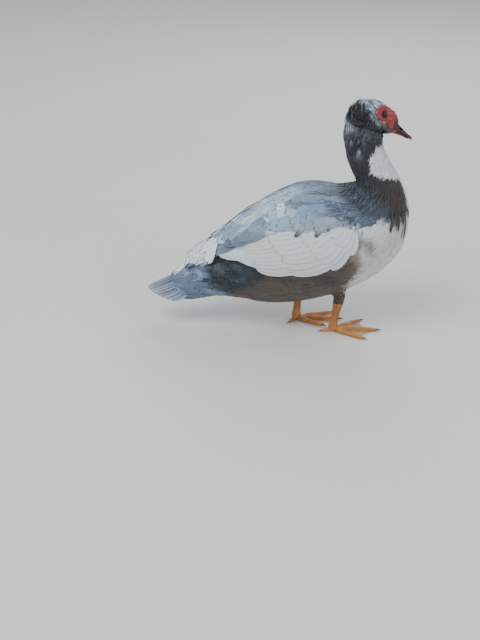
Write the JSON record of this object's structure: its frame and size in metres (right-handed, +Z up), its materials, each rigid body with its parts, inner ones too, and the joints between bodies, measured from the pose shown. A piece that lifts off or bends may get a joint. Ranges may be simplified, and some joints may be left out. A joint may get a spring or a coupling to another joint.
{
  "type": "duck figure",
  "caption": "Life-size standing muscovy duck with pied slate-blue and white plumage, red face mask and webbed feet, as a still display model.",
  "frame": {"origin": "on the floor, below the middle of the bounding box", "axes": "+X towards the breast and bill, +Y to the bird's left, +Z up"},
  "size_m": [0.4442, 0.1942, 0.4035],
  "materials": {
    "head_plumage": "soft feather",
    "body_plumage": "soft feather",
    "wing_plumage": "soft feather",
    "tail_plumage": "soft feather",
    "thigh_plumage": "soft feather",
    "eye": "wet gloss",
    "bill": "satin horn",
    "claw": "horn",
    "leg_skin": "scaled skin"
  },
  "bodies": {
    "root": {"bill_lower": "bill", "bill_upper": "bill", "claw_left_hind": "claw", "claw_left_inner": "claw", "claw_left_middle": "claw", "claw_left_outer": "claw", "claw_right_hind": "claw", "claw_right_inner": "claw", "claw_right_middle": "claw", "claw_right_outer": "claw", "eye_left": "eye", "eye_right": "eye", "foot_left": "leg_skin", "foot_right": "leg_skin", "head": "head_plumage", "neck": "head_plumage", "shank_left": "leg_skin", "shank_right": "leg_skin", "tail": "tail_plumage", "thigh_left": "thigh_plumage", "thigh_right": "thigh_plumage", "torso": "body_plumage", "wing_left": "wing_plumage", "wing_right": "wing_plumage"}
  },
  "joints": []
}
